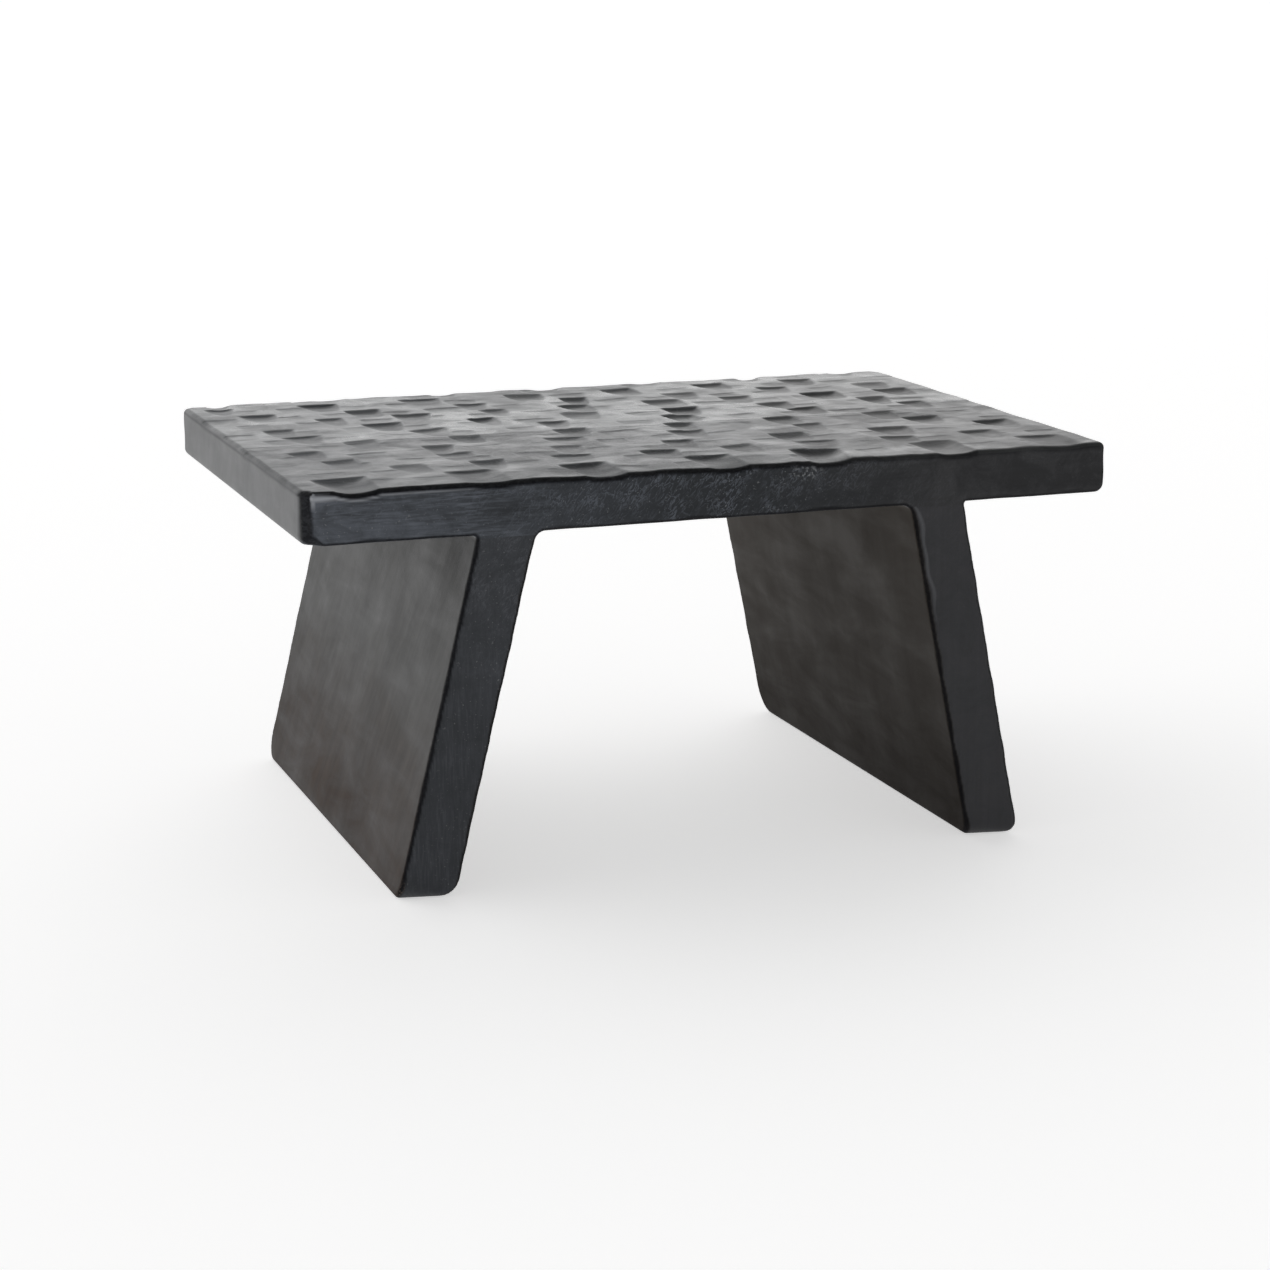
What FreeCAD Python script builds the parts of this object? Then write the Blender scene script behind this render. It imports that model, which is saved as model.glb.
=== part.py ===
"""Low wooden stool: a gouged two-board seat on two splayed slab legs, joined with tongues and dowels.

The stool is shaped as one form, as its maker sands it after the glue-up, and then divided along
its real joints: the glue line between the two boards of each panel, and the joint under the seat
where each leg lands. A loose tongue keys the two boards of a panel, and dowels hold each leg under
the seat. +Z is up, X runs along the seat, and the front is at -Y.
The origin is on the floor under the middle of the seat.
"""
import FreeCAD, Part
import math
import os

# Seat, in millimetres
SEAT_LENGTH = 500.0
SEAT_THICKNESS = 31.4
SEAT_HEIGHT = 242.0
SEAT_TOP_CORNER_RADIUS = 4.5
SEAT_BOTTOM_CORNER_RADIUS = 4.5

# Every panel, seat and legs alike, is glued up from a front and a rear board
FRONT_BOARD_WIDTH = 156.0
REAR_BOARD_WIDTH = 174.0

# Slab legs: distance from the seat's end to the slab's centre under the seat, and splay in degrees
LEG_THICKNESS = 34.5
LEFT_LEG_INSET = 119.0
RIGHT_LEG_INSET = 112.0
LEFT_LEG_SPLAY = 13.5
RIGHT_LEG_SPLAY = 11.6

# Roundings of each foot: on its left and right in front view, and at its front and rear end
FOOT_LEFT_RADIUS = 3.5
FOOT_RIGHT_RADIUS = 10.5
FOOT_FRONT_RADIUS = 7.0
FOOT_REAR_RADIUS = 13.0

# Hollow corners between leg and seat, and the low land under the seat that each leg is glued to
INNER_COVE_RADIUS = 5.0
OUTER_COVE_RADIUS = 2.5
LAND_HEIGHT = 1.5

# Eased arrises all round, where two faces meet at this angle in degrees or more
ARRIS_CHAMFER = 2.2
LEAST_ARRIS_ANGLE = 20.0

# Gouge cuts in the seat: each drops at a stop wall and runs out towards the front
SCOOP_ROW_PITCH = 30.0
SCOOP_DEPTH = 2.2
SCOOP_WIDTH = 25.0
SCOOP_RUN = 36.0
SCOOP_SETBACK = 10.0
SCOOP_END_MARGIN = 14.0
SCOOP_OVERCUT = 4.0

# The cuts of the front row are larger and run out over the front edge
FRONT_SCOOP_DEPTH = 2.7
FRONT_SCOOP_WIDTH = 30.0
FRONT_SCOOP_RUN = 90.0

# Rows of cuts from the rear: the first cut's distance from the left end, and the spacing
SCOOP_ROWS = (
    (23.0, 75.0),
    (20.0, 68.0),
    (37.0, 72.0),
    (78.0, 56.0),
    (38.0, 67.0),
    (45.0, 83.0),
    (73.0, 69.0),
    (35.0, 80.0),
    (47.0, 71.0),
    (78.0, 52.0),
    (32.0, 73.0),
)

# How unevenly the cuts are made, as shares of a size, millimetres and degrees
DEPTH_UNEVEN = 0.4
WIDTH_UNEVEN = 0.2
PLACE_UNEVEN = 3.0
YAW_UNEVEN = 8.0

# Dowels that hold each leg under the seat
DOWEL_DIAMETER = 12.0
DOWEL_IN_LEG = 28.0
DOWEL_COVER = 8.0
DOWEL_CHAMFER = 1.0
DOWELS_PER_BOARD = 2

# Loose tongue along the glue line of each panel, stopped short of the panel's ends
TONGUE_THICKNESS = 8.0
TONGUE_WIDTH = 24.0
TONGUE_STOP = 30.0

# Glue room on the faces of a dowel or tongue, and beyond its ends
GLUE_CLEARANCE = 0.1
END_CLEARANCE = 0.8

SEAT_DEPTH = FRONT_BOARD_WIDTH + REAR_BOARD_WIDTH
UNDERSIDE = SEAT_HEIGHT - SEAT_THICKNESS
LEG_TOP = UNDERSIDE - LAND_HEIGHT
FRONT = -SEAT_DEPTH / 2
REAR = SEAT_DEPTH / 2
GLUE_LINE = FRONT + FRONT_BOARD_WIDTH
DEEPEST_SCOOP = max(SCOOP_DEPTH, FRONT_SCOOP_DEPTH) * (1 + DEPTH_UNEVEN)
NEAR = 1e-6
PARTS = "parts"

LEGS = {
    "left": {"side": -1, "inset": LEFT_LEG_INSET, "splay": math.radians(LEFT_LEG_SPLAY)},
    "right": {"side": 1, "inset": RIGHT_LEG_INSET, "splay": math.radians(RIGHT_LEG_SPLAY)},
}
BOARDS = {"front": (FRONT, GLUE_LINE), "rear": (GLUE_LINE, REAR)}


def vector(x, y, z):
    return FreeCAD.Vector(x, y, z)


def block(x0, x1, y0, y1, z0, z1):
    return Part.makeBox(x1 - x0, y1 - y0, z1 - z0, vector(x0, y0, z0))


def leg_middle(leg, z):
    """X of the slab's centre plane at a height."""
    out = math.tan(leg["splay"]) * (UNDERSIDE - z)
    return leg["side"] * (SEAT_LENGTH / 2 - leg["inset"] + out)


def leg_face(leg, z, outer):
    """X of the slab's outer or inner face at a height."""
    half = LEG_THICKNESS / 2 / math.cos(leg["splay"])
    return leg_middle(leg, z) + leg["side"] * (half if outer else -half)


# The whole form


def outline():
    """Front view of the stool with sharp corners, anticlockwise from the seat's lower left."""
    end = SEAT_LENGTH / 2
    left, right = LEGS["left"], LEGS["right"]
    points = [(-end, UNDERSIDE)]
    for leg, first in ((left, True), (right, False)):
        points.append((leg_face(leg, UNDERSIDE, first), UNDERSIDE))
        points.append((leg_face(leg, 0, first), 0))
        points.append((leg_face(leg, 0, not first), 0))
        points.append((leg_face(leg, UNDERSIDE, not first), UNDERSIDE))
    points += [(end, UNDERSIDE), (end, SEAT_HEIGHT), (-end, SEAT_HEIGHT)]
    return points


def edges_along_depth(shape, places):
    """Edges parallel to Y at the given front-view places."""
    found = []
    for edge in shape.Edges:
        middle = edge.CenterOfMass
        spans_depth = abs(edge.BoundBox.YLength - SEAT_DEPTH) < NEAR
        if spans_depth and any(math.hypot(middle.x - x, middle.z - z) < NEAR for x, z in places):
            found.append(edge)
    return found


def rounded_ends():
    """The space that the stool fills in side view, rounded at the front and rear ends of its feet."""
    space = block(-SEAT_LENGTH / 2, SEAT_LENGTH / 2, FRONT, REAR, 0, SEAT_HEIGHT)
    for y, radius in ((FRONT, FOOT_FRONT_RADIUS), (REAR, FOOT_REAR_RADIUS)):
        on_floor = [edge for edge in space.Edges if edge.BoundBox.ZMax < NEAR]
        space = space.makeFillet(radius, [e for e in on_floor if abs(e.CenterOfMass.y - y) < NEAR])
    return space


def sharp_edges(shape):
    """Edges whose two faces meet at an angle."""
    found = []
    for edge in shape.Edges:
        faces = shape.ancestorsOfType(edge, Part.Face)
        if len(faces) != 2:
            continue
        middle = edge.valueAt((edge.FirstParameter + edge.LastParameter) / 2)
        normals = [face.normalAt(*face.Surface.parameter(middle)) for face in faces]
        if normals[0].getAngle(normals[1]) > math.radians(LEAST_ARRIS_ANGLE):
            found.append(edge)
    return found


def whole_form():
    """Seat and legs as one sanded form, before the gouge work."""
    points = outline()
    wire = Part.makePolygon([vector(x, FRONT, z) for x, z in points + points[:1]])
    form = Part.Face(wire).extrude(vector(0, SEAT_DEPTH, 0))
    end = SEAT_LENGTH / 2
    left, right = LEGS["left"], LEGS["right"]
    roundings = (
        (OUTER_COVE_RADIUS, [(leg_face(leg, UNDERSIDE, True), UNDERSIDE) for leg in (left, right)]),
        (INNER_COVE_RADIUS, [(leg_face(leg, UNDERSIDE, False), UNDERSIDE) for leg in (left, right)]),
        (SEAT_BOTTOM_CORNER_RADIUS, [(-end, UNDERSIDE), (end, UNDERSIDE)]),
        (SEAT_TOP_CORNER_RADIUS, [(-end, SEAT_HEIGHT), (end, SEAT_HEIGHT)]),
        (FOOT_LEFT_RADIUS, [(leg_face(left, 0, True), 0), (leg_face(right, 0, False), 0)]),
        (FOOT_RIGHT_RADIUS, [(leg_face(left, 0, False), 0), (leg_face(right, 0, True), 0)]),
    )
    for radius, places in roundings:
        form = form.makeFillet(radius, edges_along_depth(form, places))
    return form.makeChamfer(ARRIS_CHAMFER, sharp_edges(form)).common(rounded_ends())


# Gouge work


def hand(row, column, trait):
    """The unevenness of handwork: a repeatable value from -1 to 1 for each trait of a cut."""
    wave = math.sin(12.9898 * (row + 1) + 78.233 * (column + 1) + 301.705 * trait) * 43758.5453
    return 2 * (wave - math.floor(wave)) - 1


def scoop(x, y, depth, width, run, yaw):
    """Sweep of the round gouge for one cut, deepest at its stop wall and run out in front of it."""
    radius = width**2 / (8 * depth) + depth / 2
    pitch = math.atan2(depth, run)
    up = vector(0, 0, 1)
    heading = vector(math.sin(yaw), -math.cos(yaw), 0)
    along = heading * math.cos(pitch) + up * math.sin(pitch)
    lift = up * math.cos(pitch) - heading * math.sin(pitch)
    side = heading.cross(up)
    rise = depth + SCOOP_OVERCUT
    half = math.sqrt(rise * (2 * radius - rise))
    bottom = vector(x, y, SEAT_HEIGHT - depth)
    left = bottom + lift * rise - side * half
    right = bottom + lift * rise + side * half
    section = Part.Wire([Part.Arc(left, bottom, right).toShape(), Part.makeLine(right, left)])
    return Part.Face(section).extrude(along * (run + SCOOP_OVERCUT))


def scoops():
    """All gouge cuts, row by row from the rear."""
    rows = round(SEAT_DEPTH / SCOOP_ROW_PITCH)
    cuts = []
    for row in range(rows):
        first, spacing = SCOOP_ROWS[row % len(SCOOP_ROWS)]
        in_front = row == rows - 1
        depth = FRONT_SCOOP_DEPTH if in_front else SCOOP_DEPTH
        width = FRONT_SCOOP_WIDTH if in_front else SCOOP_WIDTH
        run = FRONT_SCOOP_RUN if in_front else SCOOP_RUN
        for column in range(math.ceil((SEAT_LENGTH - SCOOP_END_MARGIN - first) / spacing)):
            cuts.append(
                scoop(
                    first + column * spacing - SEAT_LENGTH / 2 + PLACE_UNEVEN * hand(row, column, 4),
                    REAR + SCOOP_SETBACK - row * SEAT_DEPTH / rows + PLACE_UNEVEN * hand(row, column, 5),
                    depth * (1 + DEPTH_UNEVEN * hand(row, column, 1)),
                    width * (1 + WIDTH_UNEVEN * hand(row, column, 2)),
                    run,
                    math.radians(YAW_UNEVEN * hand(row, column, 3)),
                )
            )
    return cuts


# Dowels and tongues


def spread(low, high, count):
    """Centres of equal divisions of a span."""
    return [low + (high - low) * (i + 0.5) / count for i in range(count)]


def leg_slope(leg):
    """Direction up the leg."""
    return vector(-leg["side"] * math.sin(leg["splay"]), 0, math.cos(leg["splay"]))


def leg_dowels(leg):
    """Lower end, direction and length of each dowel between a leg and the seat."""
    along = leg_slope(leg)
    in_seat = (SEAT_THICKNESS + LAND_HEIGHT - DEEPEST_SCOOP - DOWEL_COVER) / math.cos(leg["splay"])
    places = []
    for low, high in BOARDS.values():
        for y in spread(low, high, DOWELS_PER_BOARD):
            joint = vector(leg_middle(leg, LEG_TOP), y, LEG_TOP)
            places.append((joint - along * DOWEL_IN_LEG, along, DOWEL_IN_LEG + in_seat))
    return places


def dowel(start, along, length):
    """A dowel pin with chamfered ends."""
    pin = Part.makeCylinder(DOWEL_DIAMETER / 2, length, start, along)
    rims = [edge for edge in pin.Edges if isinstance(edge.Curve, Part.Circle)]
    return pin.makeChamfer(DOWEL_CHAMFER, rims)


def dowel_hole(start, along, length):
    """The bore for a dowel, with glue room."""
    radius = DOWEL_DIAMETER / 2 + GLUE_CLEARANCE
    return Part.makeCylinder(radius, length + 2 * END_CLEARANCE, start - along * END_CLEARANCE, along)


def seat_tongue():
    """Left end, direction and length of the seat's tongue, midway between underside and gouge cuts."""
    z = UNDERSIDE + (SEAT_THICKNESS - DEEPEST_SCOOP) / 2
    start = vector(TONGUE_STOP - SEAT_LENGTH / 2, GLUE_LINE, z)
    return start, vector(1, 0, 0), SEAT_LENGTH - 2 * TONGUE_STOP


def leg_tongue(leg):
    """Lower end, direction and length of a leg's tongue, along the middle of the slab."""
    start = vector(leg_middle(leg, TONGUE_STOP), GLUE_LINE, TONGUE_STOP)
    length = (LEG_TOP - 2 * TONGUE_STOP) / math.cos(leg["splay"])
    return start, leg_slope(leg), length


def strip(start, along, length, thickness, width):
    """A flat strip across the glue line that runs from a point along a direction."""
    across = vector(0, width / 2, 0)
    through = along.cross(vector(0, 1, 0)) * (thickness / 2)
    near, far = start + through, start - through
    corners = [near + across, near - across, far - across, far + across]
    return Part.Face(Part.makePolygon(corners + corners[:1])).extrude(along * length)


def tongue(start, along, length):
    return strip(start, along, length, TONGUE_THICKNESS, TONGUE_WIDTH)


def groove(start, along, length):
    """The groove for a tongue, with glue room."""
    return strip(
        start - along * END_CLEARANCE,
        along,
        length + 2 * END_CLEARANCE,
        TONGUE_THICKNESS + 2 * GLUE_CLEARANCE,
        TONGUE_WIDTH + 2 * END_CLEARANCE,
    )


# Division into boards


def save(name, solids):
    """Writes one node; several solids share a node as a group."""
    shape = solids[0] if len(solids) == 1 else Part.makeCompound(solids)
    shape.exportStep(os.path.join(PARTS, name + ".step"))
    print(name, len(solids), "solid", round(sum(s.Volume for s in solids) / 1000, 1), "cm3")


def main():
    os.makedirs(PARTS, exist_ok=True)
    form = whole_form()
    left, right = form.BoundBox.XMin, form.BoundBox.XMax
    dowels = {name: leg_dowels(leg) for name, leg in LEGS.items()}

    cuts = scoops() + [groove(*seat_tongue())]
    for places in dowels.values():
        cuts += [dowel_hole(*place) for place in places]
    for board, (low, high) in BOARDS.items():
        blank = form.common(block(left, right, low, high, LEG_TOP, SEAT_HEIGHT))
        save(f"seat_{board}_board", blank.cut(cuts).Solids)
    save("seat_tongue", [tongue(*seat_tongue())])

    for name, leg in LEGS.items():
        x0, x1 = (left, 0) if leg["side"] < 0 else (0, right)
        cuts = [groove(*leg_tongue(leg))] + [dowel_hole(*place) for place in dowels[name]]
        for board, (low, high) in BOARDS.items():
            blank = form.common(block(x0, x1, low, high, 0, LEG_TOP))
            save(f"{name}_leg_{board}_board", blank.cut(cuts).Solids)
        save(f"{name}_leg_tongue", [tongue(*leg_tongue(leg))])
        save(f"{name}_leg_dowels", [dowel(*place) for place in dowels[name]])


main()
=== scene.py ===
"""Looks of the low wooden stool: hand-gouged, sanded boards in black stained and waxed wood.

The six boards are meshed from one distance field of the whole sanded body, so that every arris,
hollow corner and gouge cut is soft, and the body is then parted along its joints. The dowels and
tongues inside stay the CAD solids. Lengths are in metres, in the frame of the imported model.
"""

import math

import bmesh
import bpy
import numpy as np
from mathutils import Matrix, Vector


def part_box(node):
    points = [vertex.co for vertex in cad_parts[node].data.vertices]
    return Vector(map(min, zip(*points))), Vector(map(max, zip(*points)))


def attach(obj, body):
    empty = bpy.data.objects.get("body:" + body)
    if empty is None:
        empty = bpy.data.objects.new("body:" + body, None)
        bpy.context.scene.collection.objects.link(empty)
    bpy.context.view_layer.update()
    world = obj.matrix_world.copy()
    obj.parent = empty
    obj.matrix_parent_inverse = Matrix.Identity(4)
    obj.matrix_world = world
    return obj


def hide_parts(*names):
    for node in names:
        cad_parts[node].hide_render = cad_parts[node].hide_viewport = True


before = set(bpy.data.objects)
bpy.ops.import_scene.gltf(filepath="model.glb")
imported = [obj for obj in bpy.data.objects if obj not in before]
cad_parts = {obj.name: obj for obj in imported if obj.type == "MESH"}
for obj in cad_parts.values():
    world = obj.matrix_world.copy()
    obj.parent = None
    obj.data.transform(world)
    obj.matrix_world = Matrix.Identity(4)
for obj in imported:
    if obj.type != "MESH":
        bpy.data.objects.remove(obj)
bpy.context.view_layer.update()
MM = 0.001

# A distance beyond everything
FAR = 1.0

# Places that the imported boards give
FRONT_LOW, FRONT_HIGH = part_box("seat_front_board")
REAR_LOW, REAR_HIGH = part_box("seat_rear_board")
HALF_LENGTH = FRONT_HIGH.x
FRONT = FRONT_LOW.y
REAR = REAR_HIGH.y
GLUE_LINE = REAR_LOW.y
LEG_TOP = REAR_LOW.z
TOP = REAR_HIGH.z

# Sizes of the body
UNDERSIDE = TOP - 31.4 * MM
LEG_THICKNESS = 34.5 * MM
LEGS = {
    "left": {"side": -1, "inset": 119 * MM, "splay": math.radians(13.5)},
    "right": {"side": 1, "inset": 112 * MM, "splay": math.radians(11.6)},
}
INNER_COVE = 5 * MM
OUTER_COVE = 2.5 * MM
LOWER_CORNER = 5.5 * MM

# Bevels that the scraper left on the arrises, how soft their own edges are, how far from the seat's
# ends they grow to the corners' bevel, and how uneven they are by hand
ARRIS = 2.0 * MM
TOP_ARRIS = 2.3 * MM
SEAT_CORNER = 7 * MM
SOFT_SHARE = 0.35
SEAT_CORNER_REACH = (14 * MM, 4 * MM)
ARRIS_WOBBLE = 0.12
CORNER_WOBBLE = 0.04

# Roundings of a foot: on its left and right side in front view, at its rear end, and at its front
# end, where it goes from the leg's left face to its right face
FOOT_LEFT = 3.5 * MM
FOOT_RIGHT = 11.5 * MM
FOOT_REAR = 16 * MM
FOOT_FRONT = (11 * MM, 3 * MM)
FOOT_HEIGHT = 18 * MM

# Slow unevenness that sanding by hand left: its depth, how far it keeps clear of the floor and of the
# seat's underside, and the depth of the swell of the seat's top
SANDING = 0.3 * MM
FLOOR_CLEAR = (0, 25 * MM)
UNDERSIDE_CLEAR = (2 * MM, 10 * MM)
SWELL = 0.52 * MM

# Waves of these, each with its strength, its radians to a metre along x, y and z, and its start
ARRIS_WAVES = (
    (1, 70, 0, 310, 0),
    (1, -160, 0, 137, 1.7),
)
SANDING_WAVES = (
    (1, 71, 38, 55, 0.6),
    (1, -46, 83, -62, 2.1),
    (0.7, 118, -57, 97, 4.4),
    (0.6, -64, -131, 149, 1.3),
)
SWELL_WAVES = (
    (1, 92, 61, 0, 0.4),
    (1, -57, 118, 0, 2.9),
)

# Gouge cuts, as the boards have them: rows from the rear, each with the place of its first cut and
# the spacing of its cuts in millimetres
CUT_ROWS = (
    (23, 75),
    (20, 68),
    (37, 72),
    (78, 56),
    (38, 67),
    (45, 83),
    (73, 69),
    (35, 80),
    (47, 71),
    (78, 52),
    (32, 73),
)
CUT = {
    "depth": 2.2 * MM,
    "width": 25 * MM,
    "run": 36 * MM,
    "slope": 0.55,
    "roundness": 2.2,
    "squareness": 4,
    "tone": -0.2,
}
REAR_CUT = CUT | {"squareness": 0.6}
FRONT_CUT = REAR_CUT | {"depth": 2.7 * MM, "width": 30 * MM, "run": 90 * MM}
CUT_END_MARGIN = 14 * MM
CUT_SETBACK = 10 * MM
CUT_WALL_FOOT = 1.2 * MM
CUT_RIM = 0.05 * MM
EDGE_RIM = 0.7 * MM
EDGE_RIM_REACH = (-14 * MM, -2 * MM)

# Shallow facets that a flat chisel left between the cuts, in rows numbered apart from the cuts' rows
FACET = {
    "depth": 0.36 * MM,
    "width": 25 * MM,
    "run": 27 * MM,
    "slope": 0.35,
    "roundness": 6,
    "squareness": 6,
    "tone": 0,
}
FACET_SPACING = 38 * MM
FACET_SETBACK = 14 * MM
FACET_STAGGER = (0.25, 0.75)
FACET_ROW = 20

# Depth of the strokes between the cuts: the front board's are rougher
STROKES = {"front": 0.32 * MM, "rear": 0.224 * MM}

# Handwork: the traits of a cut that vary, how much they vary, and the turns that scatter their values
HAND_TRAITS = ("depth", "width", "turn", "x", "y", "slope", "sides", "tone")
CUT_SHIFT = 3 * MM
CUT_TURN = math.radians(8)
MEAN_DEPTH = 1.05
DEPTH_SPREAD = 0.45
WIDTH_SPREAD = 0.2
SLOPE_SPREAD = 0.5
TONE_SPREAD = 0.9
LIGHTEST_TONE = 0.4
SCATTER_TURNS = (12.9898, 78.233, 301.705)
SCATTER_SIZE = 43758.5453

# Spacing of the mesh, the spare wood that a board has beyond its joints until it is parted, and the
# room about the body
STEP = 1.18 * MM
SPARE = 3 * STEP
MARGIN = 4 * STEP
LATTICE_MARGIN = 2
CELL_CORNERS = [(i, j, k) for i in (0, 1) for j in (0, 1) for k in (0, 1)]

# How the mesh's points settle on the surface, and how near a plane counts as flat or cut
SETTLE_ROUNDS = 4
SETTLE_PROBE = 0.05 * MM
LEAST_SLOPE_SQUARED = 0.1
LEAST_MOVE = 1e-12
LONGEST_MOVE = 0.5 * STEP
PARTING_TOLERANCE = 1e-7
FLAT_TOLERANCE = 0.01 * MM
DOWNWARD = -0.99999


# The body as a distance field, negative inside


def rounded_and(a, b, radius):
    """Distance to what two bodies share, with a rounded edge."""
    corner = np.hypot(np.maximum(radius + a, 0), np.maximum(radius + b, 0))
    return np.minimum(np.maximum(a, b), -radius) + corner


def rounded_or(a, b, radius):
    """Distance to two bodies together, with a hollow corner."""
    corner = np.hypot(np.maximum(radius - a, 0), np.maximum(radius - b, 0))
    return np.maximum(np.minimum(a, b), radius) - corner


def bevelled_and(a, b, bevel):
    """Distance to what two bodies share, with a flat bevel whose own edges are soft."""
    return rounded_and(np.maximum(a, b), (a + b + bevel) * math.sqrt(0.5), SOFT_SHARE * bevel)


def ease(value, low, high):
    """Smooth step from 0 at low to 1 at high."""
    t = np.clip((value - low) / (high - low), 0, 1)
    return t * t * (3 - 2 * t)


def towards_end(along, start, full):
    """Smooth step towards an end of the seat, from one distance from it to a nearer one."""
    return ease(along, HALF_LENGTH - start, HALF_LENGTH - full)


def wave_sum(waves, x, y, z):
    """Waves added up."""
    return sum(
        strength * np.sin(along_x * x + along_y * y + along_z * z + start)
        for strength, along_x, along_y, along_z, start in waves
    )


def ripple(waves, x, y, z):
    """Waves added up and brought between 0 and 1."""
    return 0.5 + wave_sum(waves, x, y, z) / (2 * sum(wave[0] for wave in waves))


def leg_middle(leg, z):
    """X of a leg's centre plane at a height."""
    return leg["side"] * (HALF_LENGTH - leg["inset"] + math.tan(leg["splay"]) * (UNDERSIDE - z))


def front_outline(x, z):
    """Distance to the outline in front view: seat and legs with hollow corners, open at the top."""
    form = rounded_and(np.abs(x) - HALF_LENGTH, UNDERSIDE - z, LOWER_CORNER)
    for leg in LEGS.values():
        outward = leg["side"] * (x - leg_middle(leg, z))
        across = np.abs(outward) * math.cos(leg["splay"])
        slab = np.maximum(across - LEG_THICKNESS / 2, z - (UNDERSIDE + TOP) / 2)
        form = rounded_or(form, slab, np.where(outward > 0, OUTER_COVE, INNER_COVE))
    return form


def foot_outline(x, z):
    """Distance to the feet in front view, rounded at both lower corners; no limit above them."""
    form = FAR
    for leg in LEGS.values():
        across = (x - leg_middle(leg, z)) * math.cos(leg["splay"])
        left = rounded_and(-across - LEG_THICKNESS / 2, -z, FOOT_LEFT)
        right = rounded_and(across - LEG_THICKNESS / 2, -z, FOOT_RIGHT)
        form = np.minimum(form, np.maximum(left, right))
    return np.where(z < FOOT_HEIGHT, form, -FAR)


def side_outline(x, y, z):
    """Distance to the outline in side view: upright front and rear, rounded at the feet."""
    across = np.where(x < 0, x - leg_middle(LEGS["left"], z), x - leg_middle(LEGS["right"], z))
    share = np.clip(across / LEG_THICKNESS + 0.5, 0, 1)
    front_rounding = FOOT_FRONT[0] + (FOOT_FRONT[1] - FOOT_FRONT[0]) * share
    return np.maximum(rounded_and(FRONT - y, -z, front_rounding), rounded_and(y - REAR, -z, FOOT_REAR))


def bevel_size(x, y, z):
    """Size of the bevel on the upright arrises: wider at three of the seat's corners, uneven by hand."""
    corner = towards_end(np.where((x < 0) | (y > 0), np.abs(x), 0), *SEAT_CORNER_REACH)
    size = ARRIS + (SEAT_CORNER - ARRIS) * corner
    wobble = ARRIS_WOBBLE + (CORNER_WOBBLE - ARRIS_WOBBLE) * corner
    return size * (1 + wobble * wave_sum(ARRIS_WAVES, x, y, z))


def sanded_body(x, y, z):
    """Distance to the whole body, open at the top."""
    form = bevelled_and(front_outline(x, z), side_outline(x, y, z), bevel_size(x, y, z))
    form = np.maximum(form, foot_outline(x, z))
    clear = ease(z, *FLOOR_CLEAR) * ease(np.abs(z - UNDERSIDE), *UNDERSIDE_CLEAR)
    return form + SANDING * ripple(SANDING_WAVES, x, y, z) * clear


def hand(row, column, draw):
    """Unevenness of handwork: a repeatable value from -1 to 1 for each trait of a cut."""
    by_row, by_column, by_draw = SCATTER_TURNS
    wave = math.sin(by_row * (row + 1) + by_column * (column + 1) + by_draw * draw) * SCATTER_SIZE
    return 2 * (wave - math.floor(wave)) - 1


def cut_at(kind, row, column, x, y):
    """One cut: deepest at its stop wall, running out to the front."""
    vary = {trait: hand(row, column, draw) for draw, trait in enumerate(HAND_TRAITS, 1)}
    turn = CUT_TURN * vary["turn"]
    return {
        "x": x + CUT_SHIFT * vary["x"],
        "y": y + CUT_SHIFT * vary["y"],
        "heading": (math.sin(turn), -math.cos(turn)),
        "depth": kind["depth"] * (MEAN_DEPTH + DEPTH_SPREAD * vary["depth"]),
        "width": kind["width"] * (1 + WIDTH_SPREAD * vary["width"]),
        "slope": kind["slope"] * (1 + SLOPE_SPREAD * vary["slope"]),
        "run": kind["run"],
        "sides": kind["roundness"] + kind["squareness"] * (1 + vary["sides"]) / 2,
        "tone": min(LIGHTEST_TONE, kind["tone"] + TONE_SPREAD * vary["tone"] * abs(vary["tone"])),
    }


def gouge_cuts():
    """Every gouge cut, and the chisel facets in staggered rows between them."""
    cuts = []
    length = 2 * HALF_LENGTH
    for row, sizes in enumerate(CUT_ROWS):
        first, spacing = (size * MM for size in sizes)
        kind = {0: REAR_CUT, len(CUT_ROWS) - 1: FRONT_CUT}.get(row, CUT)
        y = REAR + CUT_SETBACK - row * (REAR - FRONT) / len(CUT_ROWS)
        for column in range(math.ceil((length - CUT_END_MARGIN - first) / spacing)):
            cuts.append(cut_at(kind, row, column, first + column * spacing - HALF_LENGTH, y))
        for column in range(math.floor(length / FACET_SPACING)):
            x = (column + FACET_STAGGER[row % 2]) * FACET_SPACING - HALF_LENGTH
            cuts.append(cut_at(FACET, row + FACET_ROW, column, x, y - FACET_SETBACK))
    return cuts


CUTS = gouge_cuts()


def cut_field(x, y):
    """Depth of the cuts at places in plan, negative outside them, and the tone of the deepest cut."""
    x, y = np.broadcast_arrays(x, y)
    deep = np.full(x.shape, -FAR)
    tone = np.zeros(x.shape)
    for cut in CUTS:
        reach = cut["run"] + cut["width"]
        near = (np.abs(x - cut["x"]) < cut["width"]) & (np.abs(y - cut["y"]) < reach)
        dx, dy = x[near] - cut["x"], y[near] - cut["y"]
        along = dx * cut["heading"][0] + dy * cut["heading"][1]
        aside = dx * cut["heading"][1] - dy * cut["heading"][0]
        floor = cut["depth"] * (1 - along / cut["run"])
        hollow = cut["depth"] * np.abs(2 * aside / cut["width"]) ** cut["sides"]
        wall = cut["slope"] * along
        foot = CUT_WALL_FOOT * min(1, cut["depth"] / CUT["depth"]) ** 2
        shape = (floor - hollow + wall - np.hypot(floor - hollow - wall, foot)) / 2
        tone[near] = np.where(shape > deep[near], cut["tone"], tone[near])
        deep[near] = np.maximum(deep[near], shape)
    return deep, tone


def cut_depth(x, y):
    return cut_field(x, y)[0]


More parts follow.
